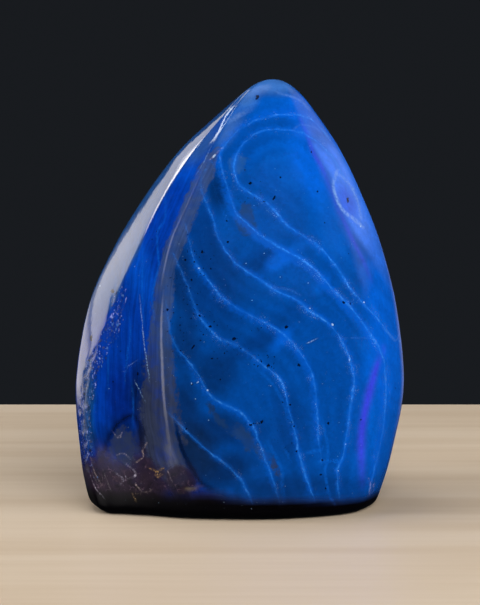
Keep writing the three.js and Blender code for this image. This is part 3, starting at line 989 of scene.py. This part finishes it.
class AmberShader(NodeBench):
    """The stone's colour, laid out layer by layer.

    Attributes:
        colour: everything that has been laid so far.
        bare: share of the surface that has lost its polish.
        STREAKS: streaks beside the ridge, per ten millimetres across it.
        RING_PITCH: radians per millimetre of the faint rings beside a growth line.
        RING_DEPTH: how far those rings brighten and darken what lies under them.
        BEADS and the names that end in CELLS: cells per millimetre of each kind of fleck.
    """

    STREAKS = 11.0
    RING_PITCH = 1.9
    RING_DEPTH = 0.035
    BEADS = 3.4
    FLECK_CELLS = 1.2
    LONE_CELLS = 0.23
    DUST_CELLS = 1.3
    CRACK_CELLS = 0.42
    CRYSTAL_GLINT_CELLS = 1.9

    def __init__(self, material: bpy.types.Material) -> None:
        """Reads the stone's layers and lays its whole colour.

        Args:
            material: the material to work on.
        """
        super().__init__(material, (1 / MM, 1 / MM, 1 / MM))
        _, self.depth, self.height = self.split(self.spot)
        self.side, self.umber, self.flecked = self.values(Mottle.AREAS)
        # The second value of the wear layer is the share of the mauve band along the ridge, partly a
        # painted reflection.
        self.wear, self.veiled, self.across = self.values(Mottle.WEAR)
        self.tone = self.layer(Mottle.TONE)
        self.colour = self.tone.outputs["Color"]
        self.bare: Wire = 0.0
        self._cloud_veil_and_sheen()
        self._growth()
        self._flecks()
        self._foot()
        self._glints()
        self._worn_edge()

    def lay(self, tint: Wire, *shares: Wire) -> None:
        """Lays a colour over the others by the product of some shares."""
        self.colour = self.blend(self.times(*shares), self.colour, tint)

    def _cloud_veil_and_sheen(self) -> None:
        """Soft clouding, streaks beside the ridge, and brown grey veils with torn edges; the mauve band
        along the ridge is partly a painted reflection.
        """
        wires = {0: self.sum("MULTIPLY_ADD", self.across, self.STREAKS, self.drift(0.12, 2, 0.5, 0.7)),
                 2: self.times(self.height, 0.05)}
        beside = self.add("ShaderNodeCombineXYZ", wires, "beside the ridge").outputs[0]
        streaks = self.band(self.noise(1, 3, 0.6, place=beside), 0.28, 0.72)
        cloud = self.band(self.noise(0.16, 4, 0.6, 0.4), 0.3, 0.7, 0.92, 1.08)
        fine = self.patches(0.9, 4, 0.65, 0.3, 0.7, 0.93, 1.07)
        flank = self.times(self.side, self.band(self.depth, -6, -13))
        streaked = self.between(flank, 1, self.sum("MULTIPLY_ADD", streaks, 0.50, 0.80))
        self.colour = self.brighten(self.colour, self.times(cloud, fine, streaked))
        # The veil layer holds the mauve band along the ridge, which is partly a painted reflection.
        veil = self.layer(Mottle.VEIL)
        torn = self.sum("ADD", veil.outputs["Alpha"], self.drift(0.7, 4, 0.7, 0.75))
        streaked = self.between(self.band(self.veiled, 0.2, 0.7), 1,
                                self.sum("MULTIPLY_ADD", streaks, 0.44, 0.80))
        thick = self.patches(0.4, 3, 0.6, 0.30, 0.60, 0.55, 0.92)
        self.lay(self.brighten(veil.outputs["Color"], streaked), self.band(torn, 0.34, 0.74), thick)

    def _growth(self) -> None:
        """Growth lines with their torn glow and their white beads, then the fine lines."""
        sway = self.sum("ADD", self.drift(0.45, 3, 0.6, 0.45), self.drift(1.9, 1, 0.5, 0.14))
        swell = self.patches(0.22, 2, 0.5, 0.36, 0.64, 0.6, 1.35)
        broken = self.patches(1.1, 4, 0.7, 0.36, 0.62, 0.25)
        crumbled = self.patches(2.6, 4, 0.75, 0.44, 0.55, 0.04)
        hot = self.patches(1.1, 3, 0.6, 0.52, 0.68)
        tear = self.drift(0.9, 4, 0.7, 0.5)
        slow = self.patches(0.17, 2, 0.5, 0.38, 0.60, 0.5, 1.05)
        for mottle in (Mottle.OUTER, Mottle.INNER):
            gap, bright, glow = self.values(mottle)
            bright = self.times(bright, slow)
            gap = self.sum("ABSOLUTE", self.sum("ADD", gap, sway))
            echo = self.sum("SINE", self.sum("MULTIPLY_ADD", gap, self.RING_PITCH, self.times(tear, 3)))
            self.colour = self.brighten(self.colour, self.sum("MULTIPLY_ADD", echo, self.RING_DEPTH, 1))
            gap = self.sum("DIVIDE", gap, swell)
            halo = self.band(self.sum("ADD", glow, tear), 0.10, 0.55)
            self.lay(HALO, halo, self.band(glow, 0, 0.5), 0.6)
            self.lay(SOFT_LINE, self.band(gap, 1, 0.1), bright, 0.42)
            core = self.times(self.band(gap, 0.34, 0.04), bright)
            self.lay(CORE_LINE, core, broken, 0.85)
            self.lay(HOT_LINE, core, hot, 0.45)
            self._beads(gap, bright)
        for mottle, wiggle, breaks in ((Mottle.FINE, 0.5, broken), (Mottle.THIN, 1.6, crumbled)):
            gap, bright, pale = self.values(mottle)
            gap = self.sum("ABSOLUTE", self.sum("MULTIPLY_ADD", sway, wiggle, gap))
            self.lay(self.blend(pale, HAIR_AZURE, HAIR_WHITE), self.band(gap, 0.62, 0.08), bright,
                     breaks, 0.85)

    def _beads(self, gap: Wire, bright: Wire) -> None:
        """Clusters of tiny white beads along a growth line.

        Args:
            gap: distance from the line.
            bright: brightness of the line.
        """
        distance, pick = self.cells(self.spot, self.BEADS)
        few = self.patches(0.26, 2, 0.5, 0.48, 0.62)
        self.lay(BEAD, self.band(gap, 1.8, 0.3), self.band(distance, 0.34, 0.14), few, bright, pick[0])

    def _flecks(self) -> None:
        """Dark and white flecks in the clear body."""
        rough = self.drift(2.2, 3, 0.6, 0.9)
        warped = self.warp(self.spot, 1.3, 1)
        distance, pick = self.cells(warped, self.FLECK_CELLS)
        size = self.sum("MULTIPLY_ADD", pick[0], 0.44, -0.17)
        swarm = self.times(self.band(self.sum("SUBTRACT", distance, size), 0.03, -0.02),
                           self.band(self.flecked, 0.15, 0.75))
        distance, pick = self.cells(self.stretch(warped, (1.5, 1, 0.42), "ticks", lean=0.5), 1)
        ticks = self.times(self.band(distance, 0.14, 0.07), self.band(pick[1], 0.55, 0.6),
                           self.band(self.flecked, 0.45, 0.9))
        distance, pick = self.cells(warped, self.LONE_CELLS)
        lone = self.times(self.band(distance, 0.07, 0.04), self.band(pick[1], 0.70, 0.72))
        self.lay(FLECK, self.most(swarm, ticks, lone, self._single(Mottle.DARK, rough)), 0.92)
        distance, pick = self.cells(warped, self.DUST_CELLS)
        dust = self.times(self.band(distance, 0.17, 0.06), self.band(pick[2], 0.90, 0.92),
                          self.patches(0.14, 2, 0.5, 0.46, 0.6, 0.1, 0.7))
        self.lay(DUST, self.most(dust, self._single(Mottle.WHITE, rough)), 0.85)

    def _single(self, mottle: Mottle, rough: Wire) -> Wire:
        """One fleck of ragged outline at each named place.

        Args:
            mottle: the layer that holds the places.
            rough: how far the outline wanders.

        Returns:
            The share that the flecks cover.
        """
        across, along, mask = self.values(mottle)
        square = self.sum("MULTIPLY_ADD", across, across, self.times(along, along))
        gap = self.sum("ADD", self.sum("SQRT", square), rough)
        return self.times(self.band(gap, 0.95, 0.6), self.band(mask, 0.7, 0.95))

    def _foot(self) -> None:
        """Brown and violet clouding and fine cracks in the umber foot."""
        cloud = self.noise(0.45, 5, 0.7, 0.8)
        brown = self.blend(self.band(cloud, 0.36, 0.50), FOOT_DARK, FOOT_BROWN)
        brown = self.blend(self.band(cloud, 0.56, 0.68), brown, FOOT_PALE)
        brown = self.blend(self.patches(0.22, 3, 0.6, 0.48, 0.62, 0, 0.55), brown, FOOT_VIOLET)
        torn = self.sum("ADD", self.umber, self.drift(0.55, 4, 0.7, 0.4))
        self.lay(brown, self.band(torn, 0.35, 0.75), 0.75)
        wires = {"Vector": self.warp(self.spot, 0.7, 1.6), "Scale": self.CRACK_CELLS}
        web = self.add("ShaderNodeTexVoronoi", wires, "cracks", feature="DISTANCE_TO_EDGE")
        self.lay(FOOT_CRACK, self.band(web.outputs["Distance"], 0.035, 0),
                 self.patches(0.5, 2, 0.6, 0.52, 0.66), self.band(self.umber, 0.35, 0.8), 0.5)

    def _glints(self) -> None:
        """Painted glints: light caught by tiny crystals in the umber foot, and by the broken lines of its
        largest cracks.
        """
        gap, bright, pale = self.values(Mottle.GLINT)
        gap = self.sum("ABSOLUTE", self.sum("ADD", gap, self.drift(2.6, 3, 0.7, 0.9)))
        distance, pick = self.cells(self.warp(self.spot, 2, 0.8), self.CRYSTAL_GLINT_CELLS)
        self.lay(CRYSTAL_GLINT, self.band(distance, 0.30, 0.12), self.band(pick[0], 0.86, 0.92),
                 self.band(self.umber, 0.5, 0.9, 0, 0.5))
        broken = self.patches(1.1, 4, 0.75, 0.44, 0.60, 0.10)
        crumb = self.band(distance, 0.50, 0.30, 0.32, 1)
        self.lay(self.blend(pale, GLINT_YELLOW, GLINT_LILAC), self.band(gap, 0.9, 0.3), bright,
                 broken, crumb)

    def _worn_edge(self) -> None:
        """Whitish, brown and dark flecks where the edge has lost its polish."""
        place = self.warp(self.stretch(self.spot, (1, 0.6, 0.7), "worn flecks"), 1.3, 1.3)
        clumps = self.times(self.wear, self.patches(0.75, 4, 0.7, 0.36, 0.54))
        for scale, size in WORN_SIZES:
            distance, pick = self.cells(place, scale)
            reach = self.band(pick[2], 0, 1, 0.35 * size, 1.2 * size)
            share = self.times(self.band(self.sum("SUBTRACT", distance, reach), 0, -0.12),
                               self.band(self.sum("SUBTRACT", clumps, pick[0]), 0, 0.05))
            tint: Wire = WORN_LILAC
            for start, colour in WORN_TINTS:
                tint = self.blend(self.band(pick[1], start, start + 0.02), tint, colour)
            self.lay(tint, share, 0.8)
            self.bare = self.most(self.bare, share)

    def roughness(self, gloss: float, worn: float) -> Wire:
        """Lays a polish that is a little uneven, dull on the umber foot and gone where it is worn.

        Args:
            gloss: roughness of the best polish.
            worn: what is added where the polish is gone.

        Returns:
            The roughness.
        """
        dull = self.most(self.bare, self.times(self.wear, 0.55), self.tone.outputs["Alpha"])
        haze = self.patches(0.09, 3, 0.6, 0.3, 0.75, gloss, gloss + 0.05)
        return self.sum("ADD", haze, self.times(dull, worn), clamp=True)

    def relief(self) -> Wire:
        """Lays faint grinding waves, and a broken surface where the stone is worn.

        Returns:
            The normal.
        """
        wires = {"Strength": 0.5, "Distance": 0.00006, "Height": self.noise(0.35)}
        wave = self.add("ShaderNodeBump", wires, "grinding waves")
        wires = {"Strength": 0.5, "Distance": 0.0001, "Normal": wave.outputs["Normal"],
                 "Height": self.times(self.bare, self.noise(2.4, 3, 0.7))}
        return self.add("ShaderNodeBump", wires, "worn grain").outputs["Normal"]


@dataclass(frozen=True)
class AmberFinish:
    """The see-through polished finish of the stone.

    Attributes:
        gloss: roughness of the well polished face.
        worn: roughness where the polish is gone.
        clearness: share of the light that enters the stone.
        ior: refractive index of the stone.
        absorb: colour that the body lets through.
        density: how fast the body takes light away, per metre.
    """

    gloss: float = 0.035
    worn: float = 0.42
    clearness: float = 0.22
    ior: float = 1.54
    absorb: Colour = (0.03, 0.20, 0.92)
    density: float = 130.0

    def build(self, name: str) -> bpy.types.Material:
        """Makes the material.

        Args:
            name: the material's name.

        Returns:
            The finished material.
        """
        material = bpy.data.materials.new(name)
        bench = AmberShader(material)
        shader = bench.add("ShaderNodeBsdfPrincipled")
        bench.feed(shader.inputs["Base Color"], bench.colour)
        bench.feed(shader.inputs["Roughness"], bench.roughness(self.gloss, self.worn))
        bench.feed(shader.inputs["Normal"], bench.relief())
        shader.inputs["IOR"].default_value = self.ior
        shader.inputs["Transmission Weight"].default_value = self.clearness
        body = bench.add("ShaderNodeVolumeAbsorption")
        body.inputs["Color"].default_value = (*self.absorb, 1.0)
        body.inputs["Density"].default_value = self.density
        bench.add("ShaderNodeOutputMaterial", {"Surface": shader.outputs[0], "Volume": body.outputs[0]})
        return material


# --------------------------------------------------------------------------
# The stone
# --------------------------------------------------------------------------


class Relief(Enum):
    """The kinds of hollow that are pressed into the polished surface."""

    WAVES = "grinding_waves"
    CHIPS = "edge_chips"


@dataclass(frozen=True)
class Hollow:
    """How one kind of hollow is pressed in.

    Attributes:
        relief: which kind it is.
        texture: Blender's texture type for it.
        grain: size of the texture in metres.
        depth: deepest hollow in metres.
    """

    relief: Relief
    texture: str
    grain: float
    depth: float


@dataclass
class PolishedStone:
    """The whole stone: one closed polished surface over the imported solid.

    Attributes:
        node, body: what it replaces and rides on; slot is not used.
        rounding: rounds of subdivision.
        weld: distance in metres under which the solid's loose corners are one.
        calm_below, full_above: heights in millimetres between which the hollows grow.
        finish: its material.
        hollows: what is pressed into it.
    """

    node: str = "amber_stone"
    name: str = "polished_amber"
    body: str = "root"
    slot: str = "blue_amber"
    rounding: int = 2
    weld: float = 0.000005
    calm_below: float = 0.3
    full_above: float = 3.0
    finish: AmberFinish = field(default_factory=AmberFinish)
    hollows: tuple[Hollow, ...] = (
        Hollow(Relief.WAVES, "CLOUDS", 0.016, 0.00016),
        Hollow(Relief.CHIPS, "STUCCI", 0.0022, 0.0005),
    )

    def build(self) -> bpy.types.Object:
        """Makes the stone and dresses it.

        Returns:
            The finished piece.
        """
        piece = self._copy_solid()
        self._round_off(piece)
        pattern = AmberPattern(self._points(piece))
        self._carry_pattern(piece, pattern)
        self._press_hollows(piece, pattern)
        piece.data.materials.clear()
        piece.data.materials.append(self.finish.build("polished blue amber"))
        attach(piece, self.body)
        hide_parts(self.node)
        return piece

    def _copy_solid(self) -> bpy.types.Object:
        """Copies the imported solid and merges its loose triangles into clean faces.

        Returns:
            The copy, active and selected.
        """
        bpy.ops.object.select_all(action="DESELECT")
        source = frame["nodes"][self.node]
        source.select_set(True)
        bpy.context.view_layer.objects.active = source
        bpy.ops.object.duplicate()
        piece = bpy.context.view_layer.objects.active
        bpy.ops.object.parent_clear(type="CLEAR_KEEP_TRANSFORM")
        piece.name = self.name
        piece.data.name = self.name
        bpy.ops.object.mode_set(mode="EDIT")
        bpy.ops.mesh.select_all(action="SELECT")
        bpy.ops.mesh.remove_doubles(threshold=self.weld)
        bpy.ops.mesh.tris_convert_to_quads(face_threshold=math.pi, shape_threshold=math.pi)
        bpy.ops.mesh.normals_make_consistent(inside=False)
        bpy.ops.object.mode_set(mode="OBJECT")
        return piece

    def _round_off(self, piece: bpy.types.Object) -> None:
        """Rounds the faces into one smooth polished surface.

        Args:
            piece: the copy of the solid.
        """
        modifier = piece.modifiers.new("polish", "SUBSURF")
        modifier.levels = self.rounding
        modifier.render_levels = self.rounding
        bpy.ops.object.modifier_apply(modifier=modifier.name)
        bpy.ops.object.shade_smooth()

    def _press_hollows(self, piece: bpy.types.Object, pattern: AmberPattern) -> None:
        """Presses shallow hollows inwards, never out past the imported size.

        Args:
            piece: the rounded stone.
            pattern: what says where its edge is worn.
        """
        top = smooth_step(pattern.points[:, 2], self.calm_below, self.full_above)
        shares = {Relief.WAVES: top, Relief.CHIPS: pattern.worn * top}
        for hollow in self.hollows:
            group = piece.vertex_groups.new(name=hollow.relief.value)
            for index, share in enumerate(shares[hollow.relief]):
                if share > 0.001:
                    group.add((index,), float(share), "REPLACE")
            texture = bpy.data.textures.new(hollow.relief.value, hollow.texture)
            texture.noise_scale = hollow.grain
            modifier = piece.modifiers.new(hollow.relief.value, "DISPLACE")
            modifier.texture = texture
            modifier.texture_coords = "LOCAL"
            modifier.vertex_group = group.name
            modifier.mid_level = 1.0
            modifier.strength = hollow.depth
            bpy.ops.object.modifier_apply(modifier=modifier.name)
        piece.vertex_groups.clear()

    def _points(self, piece: bpy.types.Object) -> np.ndarray:
        """Reads the places of the vertices.

        Args:
            piece: the rounded stone.

        Returns:
            One row for each vertex, in millimetres.
        """
        flat = np.empty(3 * len(piece.data.vertices))
        piece.data.vertices.foreach_get("co", flat)
        return flat.reshape(-1, 3) / MM

    def _carry_pattern(self, piece: bpy.types.Object, pattern: AmberPattern) -> None:
        """Lays the pattern's layers onto the piece's vertices.

        Args:
            piece: the rounded stone.
            pattern: the pattern over its points.
        """
        for mottle, values in pattern.layers().items():
            colour = mottle in (Mottle.TONE, Mottle.VEIL)
            kind = "FLOAT_COLOR" if colour else "FLOAT_VECTOR"
            layer = piece.data.attributes.new(mottle.value, kind, "POINT")
            layer.data.foreach_set("color" if colour else "vector", values.ravel())


# --------------------------------------------------------------------------
# The studio
# --------------------------------------------------------------------------

WHITE = (1.0, 1.0, 1.0)
WARM_WINDOW = (1.0, 0.92, 0.80)
RIDGE_LIGHT = (1.0, 0.96, 0.96)


class Seen(Enum):
    """Where a lamp shows."""

    AS_LIGHT = "light"
    IN_POLISH = "polish"


@dataclass(frozen=True)
class Softbox:
    """One soft studio lamp, placed by the way it is seen from the stone.

    Attributes:
        name: what the lamp is for.
        bearing: degrees round from straight behind the stone, positive to the right.
        height: degrees above the table at the lamp's middle.
        wide: width in degrees, as seen from the stone.
        high: height in degrees, as seen from the stone.
        radiance: how bright its face is.
        colour: colour of its light.
        feather: share of its face that fades out towards the edges.
        roll: turn about its own axis in degrees.
        seen: where it shows.
        distance: how far off it stands, in metres.
    """

    name: str
    bearing: float
    height: float
    wide: float
    high: float
    radiance: float
    colour: Colour = WHITE
    feather: float = 0.8
    roll: float = 0.0
    seen: Seen = Seen.IN_POLISH
    distance: float = 1.15

    def hang(self, target: Vector) -> bpy.types.Object:
        """Sets the lamp up.

        Args:
            target: the point that it faces.

        Returns:
            The lamp's object.
        """
        data = bpy.data.lights.new(self.name, "AREA")
        data.shape = "RECTANGLE"
        data.size = 2.0 * self.distance * math.tan(math.radians(self.wide / 2.0))
        data.size_y = 2.0 * self.distance * math.tan(math.radians(self.high / 2.0))
        data.color = self.colour
        data.energy = self.radiance * math.pi * data.size * data.size_y
        self._feather(data)
        lamp = bpy.data.objects.new(self.name, data)
        bpy.context.scene.collection.objects.link(lamp)
        turn = math.radians(self.bearing)
        lift = math.radians(self.height)
        away = Vector((math.sin(turn) * math.cos(lift), math.cos(turn) * math.cos(lift), math.sin(lift)))
        lamp.location = target + away * self.distance
        lamp.rotation_euler = away.to_track_quat("Z", "Y").to_euler()
        lamp.rotation_euler.rotate_axis("Z", math.radians(self.roll))
        lamp.visible_camera = False
        lamp.visible_transmission = False
        lamp.visible_glossy = self.seen is Seen.IN_POLISH
        lamp.visible_diffuse = self.seen is Seen.AS_LIGHT
        return lamp

    def _feather(self, data: bpy.types.AreaLight) -> None:
        """Fades the lamp's face out towards its edges.

        Args:
            data: the lamp's own data.
        """
        bench = NodeBench(data)
        across, up, _ = bench.split(bench.add("ShaderNodeNewGeometry").outputs["Parametric"])
        edge = max(0.001, 0.5 * self.feather)
        fades = [bench.band(bench.sum("PINGPONG", axis, 0.5), 0.0, edge) for axis in (across, up)]
        glow = bench.add("ShaderNodeEmission", {"Strength": bench.times(*fades)})
        bench.add("ShaderNodeOutputLight", {"Surface": glow.outputs[0]})


@dataclass(frozen=True)
class TableFinish:
    """Plain pale table top with a very faint grain, between two screen colours."""

    pale: Colour = (206, 188, 166)
    deep: Colour = (196, 176, 152)
    roughness: float = 0.42

    def build(self) -> bpy.types.Material:
        """Makes the material.

        Returns:
            The finished material.
        """
        material = bpy.data.materials.new("pale table")
        bench = NodeBench(material, (3.0, 60.0, 1.0))
        colour = bench.blend(bench.patches(1.0, 4.0, 0.6, 0.35, 0.65), self.pale, self.deep)
        shader = bench.add("ShaderNodeBsdfPrincipled", {"Base Color": colour})
        shader.inputs["Roughness"].default_value = self.roughness
        bench.add("ShaderNodeOutputMaterial", {"Surface": shader.outputs[0]})
        return material


@dataclass
class Studio:
    """The table, the dark room, the lamps and the camera.

    Attributes:
        target: the point in metres that the camera and the lamps face.
        distance, elevation, lens: the camera's place in metres and degrees, and its lens in millimetres.
        table_wide, table_thick, table_drop, table_edge, table_front, table_back: its sizes in metres.
        room: linear colour of the room.
        lamps: what lights the stone.
    """

    target: tuple[float, float, float] = (0.0, 0.00095, 0.05173)
    distance: float = 0.4412
    elevation: float = 6.0
    lens: float = 100.0
    table_wide: float = 1.3
    table_thick: float = 0.03
    table_drop: float = 0.0001
    table_edge: float = 0.003
    table_front: float = -0.30
    table_back: float = 0.152
    room: Colour = (0.0095, 0.0110, 0.0135)
    lamps: tuple[Softbox, ...] = (
        Softbox("front fill", 160, 34, 52, 40, 5.4, feather=0.3, seen=Seen.AS_LIGHT),
        Softbox("left key", -98, 33, 26, 26, 10.5, feather=0.3, seen=Seen.AS_LIGHT),
        Softbox("right fill", 108, 22, 34, 34, 6.2, feather=0.3, seen=Seen.AS_LIGHT),
        Softbox("top fill", -60, 70, 40, 40, 3, feather=0.3, seen=Seen.AS_LIGHT),
        Softbox("bevel window", -41.2, 18.8, 17, 46, 1.3, WARM_WINDOW, 0.12, roll=53),
        Softbox("bevel window glow", -47, 11, 38, 28, 0.8, WARM_WINDOW),
        Softbox("bevel window foot", -38, -3, 24, 16, 1.4, WARM_WINDOW, 0.6),
        Softbox("bevel edge strip", -46, 27, 34, 10, 5.5, (1, 0.94, 0.88), 0.5),
        Softbox("crown ridge strip", -47.2, 40, 1.8, 24, 7, (0.9, 1, 1), 0.9, roll=-60),
        Softbox("low ridge strip", -143.5, 1, 15, 42, 2.8, RIDGE_LIGHT),
        Softbox("high ridge strip", -115, 36, 15, 46, 2.2, RIDGE_LIGHT, roll=40),
        Softbox("right rim", 30, -6, 30, 24, 0.3, (0.88, 0.86, 1)),
        Softbox("flank window", 70, 32, 62, 44, 0.45, (1, 0.98, 0.9), 0.6),
        Softbox("ceiling", -110, 80, 34, 34, 0.8),
    )

    def build(self) -> None:
        """Sets up everything that isn't the stone."""
        self._lay_table()
        self._darken_room()
        for lamp in self.lamps:
            hung = lamp.hang(Vector(self.target))
            LOG.info("lamp %s at %s", hung.name, tuple(round(v, 2) for v in hung.location))
        self._stand_camera()

    def _lay_table(self) -> None:
        """Lays the table top just under the stone."""
        bpy.ops.object.select_all(action="DESELECT")
        bpy.ops.mesh.primitive_cube_add(size=1.0)
        table = bpy.context.view_layer.objects.active
        table.name = "pale_table"
        table.scale = (self.table_wide, self.table_back - self.table_front, self.table_thick)
        table.location = (0.0, 0.5 * (self.table_back + self.table_front),
                          -0.5 * self.table_thick - self.table_drop)
        bpy.ops.object.transform_apply(location=True, rotation=True, scale=True)
        modifier = table.modifiers.new("soft edge", "BEVEL")
        modifier.width = self.table_edge
        modifier.segments = 4
        bpy.ops.object.modifier_apply(modifier=modifier.name)
        table.data.materials.append(TableFinish().build())
        table.visible_glossy = False

    def _darken_room(self) -> None:
        """Gives the room behind the table its dark, even tone."""
        world = bpy.data.worlds.new("dark room")
        bpy.context.scene.world = world
        world.use_nodes = True
        backdrop = world.node_tree.nodes["Background"]
        backdrop.inputs["Color"].default_value = (*self.room, 1.0)
        backdrop.inputs["Strength"].default_value = 1.0

    def _stand_camera(self) -> None:
        """Stands the camera in front of the stone, a little above its middle."""
        data = bpy.data.cameras.new("camera")
        data.lens = self.lens
        data.sensor_width = 36.0
        data.sensor_fit = "AUTO"
        data.clip_start = 0.01
        camera = bpy.data.objects.new("camera", data)
        bpy.context.scene.collection.objects.link(camera)
        tilt = math.radians(self.elevation)
        away = Vector((0.0, -math.cos(tilt), math.sin(tilt)))
        camera.location = Vector(self.target) + away * self.distance
        camera.rotation_euler = Euler((math.radians(90.0) - tilt, 0.0, 0.0))
        bpy.context.scene.camera = camera
        bpy.context.scene.view_settings.view_transform = "Standard"


def main() -> None:
    """Builds the studio and the stone, and reports each piece."""
    logging.basicConfig(level=logging.INFO, format="%(name)s: %(message)s")
    Studio().build()
    stone = PolishedStone().build()
    LOG.info("piece %s: %d faces", stone.name, len(stone.data.polygons))


if __name__ == "__main__":
    main()
